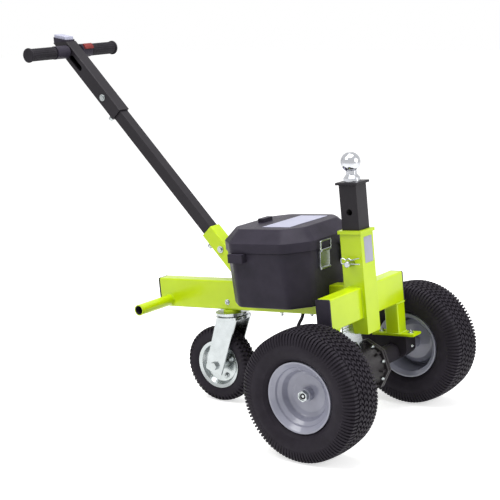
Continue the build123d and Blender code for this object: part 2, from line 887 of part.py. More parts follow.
# Batteries, one in each well
with BuildPart() as batteries:
    with BuildSketch(deck.offset(box_bottom + box_wall)):
        with Locations((box_mid, -ridge_half - battery_gap - battery_b / 2)):
            Rectangle(battery_l, battery_b)
    extrude(amount=battery_h)
    mirror(about=deck_side)
batteries.part.label = "batteries"
export_step(batteries.part, "parts/batteries.step")

# Latches on the tub's front: plate, lever with rolled ends and wire bail
tub_slope = atan(tub_taper / (tub_top - box_bottom))
latch_x = box_front - tub_inset - (tub_top - latch_w) * tan(tub_slope)
latch_place = Location((latch_x, 0, latch_w), (0, degrees(tub_slope), 0))
latch_front = Plane(deck.location * latch_place * Plane.YZ.location)
with BuildPart() as box_latches:
    for latch_side in (-latch_y, latch_y):
        with BuildSketch(latch_front):
            with Locations((latch_side, 0)):
                Rectangle(latch_b, latch_h)
        extrude(amount=latch_t)
        with BuildSketch(latch_front.offset(latch_t)):
            with Locations((latch_side, 0)):
                Rectangle(lever_plate_b, lever_plate_h)
        extrude(amount=lever_plate_t)
        with BuildSketch(Plane(latch_front.location * Location((latch_side, 0, 0)) * Plane.YZ.location)):
            with Locations((lever_plate_h / 2, bail_out), (-lever_plate_h / 2, latch_t + lever_plate_t)):
                Circle(lever_curl_r)
        extrude(amount=lever_plate_b / 2, both=True)
        with BuildSketch(latch_front.offset(bail_out - bail_t / 2)):
            with Locations((latch_side, (lever_plate_h + bail_h - bail_t) / 2)):
                RectangleRounded(bail_b, bail_h, bail_bend)
                bail_bore, bail_hole = bail_b - 2 * bail_t, bail_h - 2 * bail_t
                RectangleRounded(bail_bore, bail_hole, bail_bend - bail_t, mode=Mode.SUBTRACT)
        extrude(amount=bail_t)
box_latches.part.label = "box_latches"
export_step(box_latches.part, "parts/box_latches.step")

# Lid with a skirt and a bevel
with BuildPart() as box_lid:
    bevel_chamfer = box_chamfer - bevel_in * corner_share
    hollow_chamfer = box_chamfer - box_wall * corner_share
    roof_in = bevel_in + box_wall
    roof_chamfer = box_chamfer - roof_in * corner_share
    with BuildSketch(deck.offset(box_part)):
        with Locations((box_mid, 0)):
            Polygon(*octagon(box_length, box_half, box_chamfer), align=None)
        fillet(vertices(), lid_corner)
    extrude(amount=skirt_h)
    with BuildSketch(deck.offset(box_lip)):
        with Locations((box_mid, 0)):
            Polygon(*octagon(box_length, box_half, box_chamfer), align=None)
        fillet(vertices(), lid_corner)
    with BuildSketch(deck.offset(box_top)):
        with Locations((box_mid, 0)):
            Polygon(*octagon(box_length - 2 * bevel_in, box_half - bevel_in, bevel_chamfer), align=None)
        fillet(vertices(), lid_corner)
    loft(ruled=True)
    fillet(box_lid.faces().sort_by(upright)[-1].edges(), roof_round)
    with BuildSketch(deck.offset(box_part)):
        with Locations((box_mid, 0)):
            Polygon(*octagon(box_length - 2 * box_wall, box_half - box_wall, hollow_chamfer), align=None)
        fillet(vertices(), lid_corner - box_wall)
    extrude(amount=skirt_h - box_wall, mode=Mode.SUBTRACT)
    with BuildSketch(deck.offset(box_lip - box_wall)):
        with Locations((box_mid, 0)):
            Polygon(*octagon(box_length - 2 * box_wall, box_half - box_wall, hollow_chamfer), align=None)
        fillet(vertices(), lid_corner - box_wall)
    with BuildSketch(deck.offset(box_top - box_wall)):
        with Locations((box_mid, 0)):
            Polygon(*octagon(box_length - 2 * roof_in, box_half - roof_in, roof_chamfer), align=None)
        fillet(vertices(), lid_corner - box_wall)
    loft(ruled=True, mode=Mode.SUBTRACT)
box_lid.part.label = "box_lid"
export_step(box_lid.part, "parts/box_lid.step")

# Pale panel on the lid
with BuildPart() as lid_panel:
    with BuildSketch(deck.offset(box_top)):
        with Locations((lid_panel_x, 0)):
            Rectangle(lid_panel_l, lid_panel_b)
    extrude(amount=lid_panel_t)
lid_panel.part.label = "lid_panel"
export_step(lid_panel.part, "parts/lid_panel.step")

# Switch block on the lid
with BuildPart() as lid_switch:
    with BuildSketch(deck.offset(box_top)):
        with Locations((lid_block_x, 0)):
            RectangleRounded(lid_block_l, lid_block_b, lid_block_round)
    extrude(amount=lid_block_h)
lid_switch.part.label = "lid_switch"
export_step(lid_switch.part, "parts/lid_switch.step")

# Hinge knuckles on the tub
hinge_x = box_rear - hinge_off
tub_rear = box_rear + tub_inset
with BuildPart() as tub_hinges:
    with BuildSketch(deck_side.offset(hinge_y)):
        with Locations((hinge_x, hinge_w)):
            Circle(hinge_r)
        with Locations((hinge_x, hinge_w - leaf_h / 2)):
            Rectangle(leaf_t, leaf_h)
        with Locations(((hinge_x + tub_rear) / 2, hinge_w - leaf_h)):
            Rectangle(tub_rear - hinge_x, leaf_t)
        with Locations((hinge_x, hinge_w)):
            Circle(hinge_pin_r + run_fit, mode=Mode.SUBTRACT)
    extrude(amount=knuckle_l)
    mirror(about=deck_side)
tub_hinges.part.label = "tub_hinges"
export_step(tub_hinges.part, "parts/tub_hinges.step")

# Hinge knuckles and pins on the lid
with BuildPart() as lid_hinges:
    with BuildSketch(deck_side.offset(hinge_y + knuckle_l + knuckle_gap)):
        with Locations((hinge_x, hinge_w)):
            Circle(hinge_r)
        with Locations(((hinge_x + box_rear) / 2, hinge_w + leaf_t / 2)):
            Rectangle(box_rear - hinge_x, leaf_t)
    extrude(amount=knuckle_l)
    with BuildSketch(deck_side.offset(hinge_y)):
        with Locations((hinge_x, hinge_w)):
            Circle(hinge_pin_r)
    extrude(amount=knuckle_l + knuckle_gap)
    mirror(about=deck_side)
lid_hinges.part.label = "lid_hinges"
export_step(lid_hinges.part, "parts/lid_hinges.step")

# Caster's round plate, race and kingpin
with BuildPart() as caster_plate:
    with BuildSketch(deck.offset(caster_plate_top - caster_plate_t)):
        with Locations((caster_x, 0)):
            Circle(caster_plate_r)
    extrude(amount=caster_plate_t)
    with BuildSketch(deck.offset(crown_top + race_gap)):
        with Locations((caster_x, 0)):
            Circle(race_r)
    extrude(amount=race_h)
    with BuildSketch(deck.offset(crown_top - crown_t - race_gap)):
        with Locations((caster_x, 0)):
            Circle(kingpin_r)
    extrude(amount=crown_t + 2 * race_gap)
    with BuildSketch(deck.offset(crown_top - crown_t - race_gap - kingpin_head_t)):
        with Locations((caster_x, 0)):
            Circle(kingpin_head_r)
    extrude(amount=kingpin_head_t)
caster_plate.part.label = "caster_plate"
export_step(caster_plate.part, "parts/caster_plate.step")

# Caster fork: straight tapered legs cut square past the axle
fork_mid = caster_x + (fork_front - fork_rear) / 2
fork_angle = degrees(atan((fork_mid - caster_axle_x) / (crown_top - caster_axle_w)))
with BuildPart() as caster_fork:
    with BuildSketch(deck_side.offset(fork_inner)):
        with Locations(Location((caster_axle_x, caster_axle_w), -fork_angle)):
            RectangleRounded(fork_end_b, fork_end_l, fork_corner)
        with Locations((fork_mid, crown_top - crown_t / 2)):
            Rectangle(fork_front + fork_rear, crown_t)
        make_hull()
        with Locations((caster_axle_x, caster_axle_w)):
            Circle(caster_axle_r + seat_gap, mode=Mode.SUBTRACT)
    extrude(amount=fork_t)
    mirror(about=deck_side)
    with BuildSketch(deck.offset(crown_top - crown_t)):
        with Locations((caster_x, 0)):
            Circle(crown_r)
    extrude(amount=crown_t)
    with BuildSketch(deck.offset(crown_top - crown_t)):
        with Locations((caster_x, 0)):
            Circle(kingpin_r + run_fit)
    extrude(amount=crown_t, mode=Mode.SUBTRACT)
caster_fork.part.label = "caster_fork"
export_step(caster_fork.part, "parts/caster_fork.step")

# Caster axle bolt
with BuildPart() as caster_axle:
    with BuildSketch(deck_side):
        with Locations((caster_axle_x, caster_axle_w)):
            Circle(caster_axle_r)
    extrude(amount=fork_inner + fork_t, both=True)
    with BuildSketch(deck_side.offset(fork_inner + fork_t)):
        with Locations((caster_axle_x, caster_axle_w)):
            RegularPolygon(caster_head_r, 6)
    extrude(amount=caster_head_t)
    with BuildSketch(deck_side.offset(-fork_inner - fork_t - caster_head_t)):
        with Locations((caster_axle_x, caster_axle_w)):
            RegularPolygon(caster_head_r, 6)
    extrude(amount=caster_head_t)
caster_axle.part.label = "caster_axle"
export_step(caster_axle.part, "parts/caster_axle.step")

# Caster tyre
caster_place = Location((caster_axle_x, 0, caster_axle_w))
caster_section = Plane(deck.location * caster_place * Plane.YZ.location)
with BuildPart() as caster_tyre:
    with BuildSketch(caster_section):
        with BuildLine():
            side_r = (caster_rim_r + caster_tyre_r) / 2
            edge_r = caster_tyre_r - caster_crown
            foot_r = caster_bead_r + seat_gap
            Line((-caster_shoulder, foot_r), (caster_shoulder, foot_r))
            Line((caster_shoulder, foot_r), (caster_shoulder, caster_rim_r))
            ThreePointArc((caster_shoulder, caster_rim_r), (caster_half, side_r), (caster_shoulder, edge_r))
            ThreePointArc((caster_shoulder, edge_r), (0, caster_tyre_r), (-caster_shoulder, edge_r))
            ThreePointArc(
                (-caster_shoulder, edge_r), (-caster_half, side_r), (-caster_shoulder, caster_rim_r)
            )
            Line((-caster_shoulder, caster_rim_r), (-caster_shoulder, foot_r))
        make_face()
    revolve(axis=Axis(caster_section.origin, caster_section.x_dir))
caster_tyre.part.label = "caster_tyre"
export_step(caster_tyre.part, "parts/caster_tyre.step")

# Caster rim with its hub
with BuildPart() as caster_rim:
    with BuildSketch(caster_section):
        with BuildLine():
            lip = caster_shoulder + caster_lip_t
            seat = caster_shoulder + seat_gap
            barrel_r = caster_bead_r - caster_lip_t
            Polyline(
                (-caster_hub_half, caster_axle_r + run_fit),
                (caster_hub_half, caster_axle_r + run_fit),
                (caster_hub_half, caster_hub_r),
                (caster_web_half, caster_hub_r),
                (caster_web_half, caster_web_r),
                (seat, barrel_r),
                (lip, caster_rim_r),
                (seat, caster_rim_r),
                (seat, caster_bead_r),
                (-seat, caster_bead_r),
                (-seat, caster_rim_r),
                (-lip, caster_rim_r),
                (-seat, barrel_r),
                (-caster_web_half, caster_web_r),
                (-caster_web_half, caster_hub_r),
                (-caster_hub_half, caster_hub_r),
                close=True,
            )
        make_face()
    revolve(axis=Axis(caster_section.origin, caster_section.x_dir))
caster_rim.part.label = "caster_rim"
export_step(caster_rim.part, "parts/caster_rim.step")

# Drive wheels: the side's name and which way is outward
for side, outward in [("right", -1), ("left", 1)]:
    wheel = Plane(
        origin=(axle_x, outward * half_track, tyre_r),
        x_dir=(0, outward, 0),
        z_dir=(-outward, 0, 0),
    )
    wheel_axis = Axis(wheel.origin, wheel.x_dir)
    with BuildPart() as tyre:
        with BuildSketch(wheel):
            with BuildLine():
                bead_half = rim_half - rim_flange_t - seat_gap
                tread_r = tyre_r - tread_drop
                Line((-bead_half, bead_r + seat_gap), (bead_half, bead_r + seat_gap))
                Line((bead_half, bead_r + seat_gap), (bead_half, rim_flange_r))
                ThreePointArc((bead_half, rim_flange_r), (tyre_half, tyre_wall_r), (tread_half, tread_r))
                ThreePointArc((tread_half, tread_r), (0, tyre_r), (-tread_half, tread_r))
                ThreePointArc((-tread_half, tread_r), (-tyre_half, tyre_wall_r), (-bead_half, rim_flange_r))
                Line((-bead_half, rim_flange_r), (-bead_half, bead_r + seat_gap))
            make_face()
        revolve(axis=wheel_axis)
    tyre.part.label = f"tyre_{side}"
    export_step(tyre.part, f"parts/tyre_{side}.step")
    with BuildPart() as rim:
        with BuildSketch(wheel):
            with BuildLine():
                flange_in = rim_half - rim_flange_t
                barrel_r = bead_r - rim_wall
                disc_out = rim_dish[0][0]
                Polyline(
                    (hub_in, shaft_r + seat_gap),
                    (hub_out, shaft_r + seat_gap),
                    (hub_out, hub_r),
                    (disc_out, hub_r),
                    *rim_dish,
                    (flange_in, barrel_r),
                    (rim_half, rim_flange_r - rim_wall),
                    (rim_half, rim_flange_r),
                    (flange_in, rim_flange_r),
                    (flange_in, bead_r),
                    (-flange_in, bead_r),
                    (-flange_in, rim_flange_r),
                    (-rim_half, rim_flange_r),
                    (-rim_half, rim_flange_r - rim_wall),
                    (-flange_in, barrel_r),
                    *[(offset - rim_wall, radius + rim_wall / 2) for offset, radius in reversed(rim_dish)],
                    (disc_out - rim_wall, hub_r),
                    (hub_in, hub_r),
                    close=True,
                )
            make_face()
            fillet([vertices().sort_by_distance(point)[0] for point in rim_dish], dish_round)
        revolve(axis=wheel_axis)
    rim.part.label = f"rim_{side}"
    export_step(rim.part, f"parts/rim_{side}.step")
    with BuildPart() as shaft:
        with BuildSketch(Plane(wheel.location * Plane.YZ.location).offset(-shaft_in)):
            Circle(shaft_r)
        extrude(amount=shaft_in + shaft_out)
        with BuildSketch(Plane(wheel.location * Plane.YZ.location).offset(hub_out)):
            RegularPolygon(nut_af / sqrt(3), 6)
            Circle(shaft_r, mode=Mode.SUBTRACT)
        extrude(amount=nut_t)
    shaft.part.label = f"shaft_{side}"
    export_step(shaft.part, f"parts/shaft_{side}.step")
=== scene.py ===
import json
from math import cos, pi, radians, sin

import bmesh
import bpy
from mathutils import Matrix, Vector


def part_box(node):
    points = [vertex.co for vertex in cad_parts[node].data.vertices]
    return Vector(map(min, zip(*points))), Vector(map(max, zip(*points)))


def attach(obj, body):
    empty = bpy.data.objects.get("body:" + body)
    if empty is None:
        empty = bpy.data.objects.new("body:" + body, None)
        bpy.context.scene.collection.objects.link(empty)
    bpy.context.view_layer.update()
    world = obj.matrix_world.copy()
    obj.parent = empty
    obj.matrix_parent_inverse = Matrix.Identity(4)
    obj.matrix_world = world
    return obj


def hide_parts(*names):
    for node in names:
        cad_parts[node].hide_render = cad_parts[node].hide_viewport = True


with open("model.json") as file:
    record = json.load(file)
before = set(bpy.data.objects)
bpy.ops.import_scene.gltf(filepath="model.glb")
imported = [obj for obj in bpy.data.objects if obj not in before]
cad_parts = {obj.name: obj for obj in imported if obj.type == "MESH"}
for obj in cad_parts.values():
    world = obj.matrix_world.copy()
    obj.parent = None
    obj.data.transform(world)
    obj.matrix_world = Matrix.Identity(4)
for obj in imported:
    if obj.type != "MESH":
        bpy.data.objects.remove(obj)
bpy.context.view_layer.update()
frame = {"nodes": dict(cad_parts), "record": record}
nodes = frame["nodes"]
scene = bpy.context.scene
scene.view_settings.view_transform = "Standard"


def middle(node):
    low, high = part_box(node)
    return (Vector(low) + Vector(high)) / 2


# Stance, read from the frame: metres throughout
WHEEL = middle("tyre_right")
AXLE = Vector((WHEEL.x, 0, WHEEL.z))
HALF_TRACK = -WHEEL.y
NOSE_UP = radians(3.8)
FORWARD = Vector((cos(NOSE_UP), 0, sin(NOSE_UP)))
LEFT = Vector((0, 1, 0))
UP = Vector((-sin(NOSE_UP), 0, cos(NOSE_UP)))

# Drive tyre
TYRE_R = 0.162
TREAD_HALF = 0.053
TREAD_DROP = 0.004
TREAD_DEPTH = 0.0042
TREAD_PITCHES = 72
TYRE_STEPS = 216
CROWN_STEPS = 4
CROWN_SHARE = 0.8
BLOCK_DRAFT = 0.12
BLOCK_INSET = 0.0006
BAR_DRAFT = 0.1
SIDE_SHIFT = 0.25

# Carcass from bead to shoulder: offset from the wheel's middle, radius
TYRE_WALL = [
    (0.0382, 0.0790),
    (0.0382, 0.0880),
    (0.0445, 0.0905),
    (0.0515, 0.0970),
    (0.0550, 0.1000),
    (0.0555, 0.1030),
    (0.0590, 0.1090),
    (0.0608, 0.1160),
    (0.0612, 0.1230),
    (0.0603, 0.1310),
    (0.0585, 0.1390),
    (0.0555, 0.1470),
    (0.0505, 0.1520),
]

# Tread rows: inner and outer offset, share of the pitch, slant and shift in pitches
TREAD_ROWS = [
    (0.0010, 0.0085, 0.60, 0.42, 0.0),
    (0.0085, 0.0160, 0.60, -0.42, 0.42),
    (0.0182, 0.0263, 0.60, 0.42, 0.5),
    (0.0263, 0.0344, 0.60, -0.42, 0.92),
]
SHOULDER_PITCHES = 108
SHOULDER_INNER = 0.0364
SHOULDER_SHARE = 0.66
SHOULDER_SHIFT = 0.5
SHOULDER_EDGE = TREAD_HALF - 0.002
SHOULDER_FOOT = [(0.0555, 0.1530), (0.0585, 0.1465), (0.0606, 0.1385), (0.0613, 0.1310)]
SHOULDER_SUNK = (0.004, 0.007)

# Caster tyre
CASTER_R = 0.105
CASTER_TREAD_HALF = 0.017
CASTER_CROWN = 0.003
CASTER_DEPTH = 0.0065
CASTER_KNOBS = 52
CASTER_STEPS = 156
CASTER_CROWN_STEPS = 3
CASTER_WALL = [
    (0.0170, 0.0605),
    (0.0170, 0.0660),
    (0.0195, 0.0700),
    (0.0225, 0.0760),
    (0.0238, 0.0830),
    (0.0232, 0.0890),
    (0.0205, 0.0935),
    (0.0165, 0.0955),
]
CASTER_ROWS = [
    (0.0010, 0.0070, 0.55, 0.25, 0.0),
    (0.0090, 0.0165, 0.60, -0.20, 0.5),
]
CASTER_BAR_INNER = 0.0150
CASTER_BAR_OUTER = 0.0180
CASTER_BAR_SHARE = 0.55
CASTER_BAR_SHIFT = 0.75
CASTER_BAR_FOOT = [(0.0215, 0.0995), (0.0236, 0.0945), (0.0240, 0.0870)]
CASTER_BAR_SUNK = (0.003, 0.006)

# Bolts: shares of the head's radius, and profiles as height and share
WASHER_SHARE = 1.35
WASHER_RINGS = [(0, 1), (0.0012, 1), (0.0016, 0.94)]
HEAD_CHAMFER = (0.001, 0.86)
STUB_SHARE = 0.45
STUB_RINGS = [(0, 1), (0.0016, 1), (0.0022, 0.8)]

# Bolts on the frame: place on the chassis, the way the head looks, head radius and height
BOLTS = [
    ((-0.4076, -0.0200, 0.151), "near", 0.0058, 0.0055),
    ((-0.4076, 0.0200, 0.151), "far", 0.0058, 0.0055),
    ((0.0480, 0.1580, 0.050), "up", 0.0058, 0.0060),
    ((-0.0380, 0.1580, 0.050), "up", 0.0058, 0.0060),
    ((0.0480, -0.1580, 0.050), "up", 0.0058, 0.0060),
    ((-0.0380, -0.1580, 0.050), "up", 0.0058, 0.0060),
    ((0.0460, 0.1620, 0.014), "front", 0.0034, 0.0040),
    ((0.0460, -0.1620, 0.014), "front", 0.0034, 0.0040),
    ((-0.2400, -0.0080, 0.130), "down", 0.0048, 0.0100),
    ((-0.1560, 0.0080, 0.130), "down", 0.0048, 0.0100),
]
GEAR_BOLTS = 8
GEAR_BOLT_TURN = radians(15.5)
GEAR_BOLT_CIRCLE = 0.0590
GEAR_BOLT_SIZE = (0.0036, 0.0050)
GEAR_FLANGE_NEAR = -0.004
RIM_BOLTS = 4
RIM_BOLT_TURN = radians(28)
RIM_BOLT_CIRCLE = 0.0370
RIM_BOLT_SIZE = (0.0068, 0.0072)
CASTER_WEB_HALF = 0.006

# Dark cups that line the lift bar's bore at both ends and darken it, and dark dished caps in the hub nuts
# whose dark colour is painted shade of the nuts' hollows: height and radius of their rings
BAR_HALF = 0.154
BORE_CUP_RINGS = [(-0.060, 0.0124), (-0.0012, 0.0124), (-0.0006, 0.0121), (-0.0006, 0.0116), (-0.058, 0.0112)]
SHAFT_OUT = 0.030
DARK_CAP_RINGS = [(-0.0004, 0.0075), (0.0010, 0.0075), (0.0014, 0.0070), (0.0006, 0.004125), (-0.0002, 0.0030)]

# Weld seams run round these on the chassis. Forward: cross beam, handle socket, post's rear
CROSS_SPAN = (-0.015, 0.025)
SOCKET_SPAN = (-0.3658, -0.3400)
POST_REAR = -0.025
# Sideways from the middle: post, main beam, legs
POST_HALF = 0.030
BEAM_HALF = 0.020
LEG_SPAN = (0.138, 0.178)
# Up: both beams, and the ends of the legs
BEAM_SPAN = (0.130, 0.210)
LEG_ENDS = (0.130, 0.050)
# Lift bar and ball tube: middle, radius or half width, and the tube's top
LIFT_BAR = (-0.609, 0.149)
LIFT_BAR_R = 0.015
LIFT_BAR_BEADS = 16
BALL_TUBE = 0.005
BALL_TUBE_HALF = 0.0247
BALL_TUBE_TOP = 0.467

# Weld bead: its mean, ripple and drop at the ends are shares of its radius
WELD_R = 0.0024
WELD_STEP = 0.0016
WELD_SIDES = 6
WELD_MEAN = 0.82
WELD_RIPPLE = 0.18
WELD_END = 0.3

# Blank label on the post's front, and the ribbed stay between cross beam and gear housing
POST_FRONT = 0.035
LABEL_MIDDLE = (0.003, 0.302)
LABEL_SIZE = (0.038, 0.066)
LABEL_CORNER = 0.002
LABEL_CORNER_STEPS = 3
LABEL_T = 0.0004
LABEL_ROUND = 0.6
STAY_OUTLINE = [
    (-0.100, 0.130), (-0.056, 0.130), (-0.048, 0.094), (-0.018, 0.088), (-0.014, 0.074),
    (-0.010, 0.052), (-0.022, 0.046), (-0.034, 0.070), (-0.060, 0.076), (-0.100, 0.104),
]
STAY_FACE = 0.006
STAY_T = 0.004
STAY_RIBS = (0.123, 0.116, 0.109)
STAY_RIB_END = -0.102
STAY_RIB_RINGS = [(0, 0.0012), (0.002, 0.0024), (0.042, 0.0024), (0.044, 0.0012)]

# Grips
GRIP_R = 0.0165
GRIP_SPAN = (0.079, 0.165)
GRIP_RIBS = 20
GRIP_RIB = 0.0009
GRIP_RIB_FOOT = 1.8
GRIP_RIB_SUNK = 0.0004
GRIP_RIB_INSET = 0.0015

# Motor lead: its route, forward and up on the chassis, near the one in the part's source
LEAD_SIDE = -0.008
LEAD_D = 0.009
LEAD_ROUTE = [
    (-0.170, 0.150), (-0.170, 0.125), (-0.192, 0.096), (-0.206, 0.058), (-0.198, 0.024), (-0.170, 0.022),
]
BOOT_RINGS = [(-0.002, 0.0085), (0.003, 0.0085), (0.004, 0.0068), (0.014, 0.0052)]


def at(u, v, w):
    """A place on the raised chassis: forward of the axle, left, and up from it."""
    return AXLE + FORWARD * u + LEFT * v + UP * w


def facing(origin, out, along):
    """Matrix whose Z looks out and whose X runs along."""
    z = Vector(out).normalized()
    x = (Vector(along) - z * z.dot(along)).normalized()
    y = z.cross(x)
    return Matrix((
        (x.x, y.x, z.x, origin.x),
        (x.y, y.y, z.y, origin.y),
        (x.z, y.z, z.z, origin.z),
        (0, 0, 0, 1)))


def srgb(red, green, blue):
    def linear(value):
        value /= 255
        return value / 12.92 if value <= 0.04045 else ((value + 0.055) / 1.055) ** 2.4
    return (linear(red), linear(green), linear(blue), 1)


# Materials -----------------------------------------------------------------

def shader(name):
    made = bpy.data.materials.new(name)
    made.use_nodes = True
    tree = made.node_tree
    return made, tree, tree.nodes["Principled BSDF"]


def coordinates(tree, stretch=(1, 1, 1)):
    coord = tree.nodes.new("ShaderNodeTexCoord")
    mapping = tree.nodes.new("ShaderNodeMapping")
    mapping.inputs["Scale"].default_value = stretch
    tree.links.new(coord.outputs["Object"], mapping.inputs["Vector"])
    return mapping.outputs["Vector"]


def noise(tree, vector, scale, detail=4.0, rough=0.55):
    made = tree.nodes.new("ShaderNodeTexNoise")
    made.inputs["Scale"].default_value = scale
    made.inputs["Detail"].default_value = detail
    made.inputs["Roughness"].default_value = rough
    tree.links.new(vector, made.inputs["Vector"])
    return made.outputs["Fac"]


def cells(tree, vector, scale):
    made = tree.nodes.new("ShaderNodeTexVoronoi")
    made.inputs["Scale"].default_value = scale
    tree.links.new(vector, made.inputs["Vector"])
    return made.outputs["Distance"]


def tint(tree, bsdf, factor, dark, light, low=0.3, high=0.7):
    ramp = tree.nodes.new("ShaderNodeValToRGB")
    ramp.color_ramp.elements[0].position = low
    ramp.color_ramp.elements[1].position = high
    ramp.color_ramp.elements[0].color = dark
    ramp.color_ramp.elements[1].color = light
    tree.links.new(factor, ramp.inputs["Fac"])
    tree.links.new(ramp.outputs["Color"], bsdf.inputs["Base Color"])


def sheen_range(tree, bsdf, factor, low, high):
    span = tree.nodes.new("ShaderNodeMapRange")
    span.inputs["To Min"].default_value = low
    span.inputs["To Max"].default_value = high
    tree.links.new(factor, span.inputs["Value"])
    tree.links.new(span.outputs["Result"], bsdf.inputs["Roughness"])


def relief(tree, bsdf, height, distance, edge=0.0012):
    """Bump from a height, over edges that are slightly rounded."""
    bevel = tree.nodes.new("ShaderNodeBevel")
    bevel.samples = 4
    bevel.inputs["Radius"].default_value = edge
    bump = tree.nodes.new("ShaderNodeBump")
    bump.inputs["Strength"].default_value = 1
    bump.inputs["Distance"].default_value = distance
    tree.links.new(bevel.outputs["Normal"], bump.inputs["Normal"])
    tree.links.new(height, bump.inputs["Height"])
    tree.links.new(bump.outputs["Normal"], bsdf.inputs["Normal"])


def paint(name, dark, light, rough, coat, mirror=0.35):
    """Sprayed paint: faint orange peel and slow changes of shade."""
    made, tree, bsdf = shader(name)
    vector = coordinates(tree)
    tint(tree, bsdf, noise(tree, vector, 9), dark, light)
    sheen_range(tree, bsdf, noise(tree, vector, 40), rough - 0.06, rough + 0.08)
    relief(tree, bsdf, noise(tree, vector, 420, 2), 0.00012)
    bsdf.inputs["Specular IOR Level"].default_value = mirror
    bsdf.inputs["Coat Weight"].default_value = coat
    bsdf.inputs["Coat Roughness"].default_value = 0.12
    return made


def moulded(name, dark, light, rough, grain):
    """Moulded plastic: pebbled skin with smoother, slightly paler patches."""
    made, tree, bsdf = shader(name)
    vector = coordinates(tree)
    tint(tree, bsdf, noise(tree, vector, 14), dark, light)
    sheen_range(tree, bsdf, noise(tree, vector, 60), rough - 0.07, rough + 0.1)
    relief(tree, bsdf, cells(tree, vector, grain), 0.00025, 0.0016)
    bsdf.inputs["Specular IOR Level"].default_value = 0.1
    return made


def rubber(name, dark, light, rough):
    """Rubber: dull, with fine dust in patches."""
    made, tree, bsdf = shader(name)
    vector = coordinates(tree)
    tint(tree, bsdf, noise(tree, vector, 22, 8, 0.7), dark, light, 0.35, 0.8)
    sheen_range(tree, bsdf, noise(tree, vector, 90), rough - 0.08, rough + 0.12)
    relief(tree, bsdf, noise(tree, vector, 600, 3), 0.0002, 0.0006)
    bsdf.inputs["Specular IOR Level"].default_value = 0.15
    return made


def plated(name, dark, light, rough):
    """Bright zinc: clouds that differ slightly in shade and gloss."""
    made, tree, bsdf = shader(name)
    vector = coordinates(tree)
    tint(tree, bsdf, noise(tree, vector, 30, 6, 0.6), dark, light)
    sheen_range(tree, bsdf, noise(tree, vector, 45), rough - 0.06, rough + 0.08)
    relief(tree, bsdf, noise(tree, vector, 200, 2), 0.00004)
    bsdf.inputs["Metallic"].default_value = 1
    return made


def polished(name, dark, light, rough):
    """Chrome: almost a mirror, with hairline wiping marks."""
    made, tree, bsdf = shader(name)
    vector = coordinates(tree, (40, 40, 900))
    tint(tree, bsdf, noise(tree, vector, 1, 2), dark, light)
    sheen_range(tree, bsdf, noise(tree, vector, 2, 3), rough, rough + 0.08)
    relief(tree, bsdf, noise(tree, vector, 1, 2), 0.00002)
    bsdf.inputs["Metallic"].default_value = 1
    return made


def cast(name, dark, light, rough):
    """Sand casting: coarse skin with darker pits."""
    made, tree, bsdf = shader(name)
    vector = coordinates(tree)
    tint(tree, bsdf, noise(tree, vector, 120, 6, 0.7), dark, light)
    sheen_range(tree, bsdf, noise(tree, vector, 160), rough - 0.1, rough + 0.1)
    relief(tree, bsdf, noise(tree, vector, 330, 5), 0.0007, 0.0025)
    bsdf.inputs["Specular IOR Level"].default_value = 0.3
    return made


FINISH = {
    "green": paint("green", srgb(176, 202, 0), srgb(188, 213, 2), 0.3, 0.2),
    "black_tube": paint("black_tube", srgb(25, 22, 27), srgb(35, 32, 37), 0.42, 0.05, 0.2),
    "rim_paint": paint("rim_paint", srgb(134, 135, 149), srgb(152, 153, 168), 0.24, 0.5),
    "pale_panel": paint("pale_panel", srgb(153, 154, 173), srgb(168, 169, 187), 0.48, 0.05),
    "black_plastic": moulded("black_plastic", srgb(41, 38, 47), srgb(53, 49, 60), 0.42, 700),
    "red_plastic": moulded("red_plastic", srgb(96, 37, 37), srgb(126, 56, 54), 0.4, 900),
    "tyre_rubber": rubber("tyre_rubber", srgb(28, 24, 31), srgb(41, 37, 45), 0.6),
    "grip_rubber": rubber("grip_rubber", srgb(28, 26, 31), srgb(42, 39, 45), 0.55),
    "zinc": plated("zinc", srgb(165, 170, 171), srgb(181, 186, 187), 0.22),
    "chrome": polished("chrome", srgb(176, 178, 184), srgb(200, 202, 206), 0.05),
    "cast": cast("cast", srgb(23, 20, 23), srgb(41, 37, 40), 0.42),
}

for part in frame["record"]["subparts"]:
    coats = nodes[part["node"]].data.materials
    coats.clear()
    coats.append(FINISH[part["material_slot"]])


# Pieces ----------------------------------------------------------------------

SHARP = radians(32)


def piece(name, mesh_maker, body, slot):
    """One object from a function that fills a bmesh; it rides on a body."""
    bm = bmesh.new()
    mesh_maker(bm)
    bmesh.ops.recalc_face_normals(bm, faces=bm.faces)
    mesh = bpy.data.meshes.new(name)
    bm.to_mesh(mesh)
    bm.free()
    mesh.shade_smooth()
    mesh.set_sharp_from_angle(angle=SHARP)
    mesh.materials.append(FINISH[slot])
    made = bpy.data.objects.new(name, mesh)
    scene.collection.objects.link(made)
    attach(made, body)
    return made


def skin(bm, rings, close_along=False):
    """Quads between rings of as many vertices, each ring closed."""
    pairs = list(zip(rings, rings[1:]))
    if close_along:
        pairs.append((rings[-1], rings[0]))
    for one, two in pairs:
        for i in range(len(one)):
            j = (i + 1) % len(one)
            bm.faces.new((one[i], one[j], two[j], two[i]))


def closed(bm, rings):
    """A solid from rings of vertices, with a face over its first and last ring."""
    skin(bm, rings)
    bm.faces.new(rings[0])
    bm.faces.new(rings[-1])


def stack(bm, place, corners, rings):
    """A turned or hexagonal solid on place's Z, from the height and radius of each ring."""
    turns = [2 * pi * i / corners for i in range(corners)]
    closed(bm, [
        [bm.verts.new(place @ Vector((radius * cos(turn), radius * sin(turn), height))) for turn in turns]
        for height, radius in rings])


def block(bm, foot, head):
    """A block from four foot corners to four head corners."""
    closed(bm, [[bm.verts.new(place) for place in corners] for corners in (foot, head)])


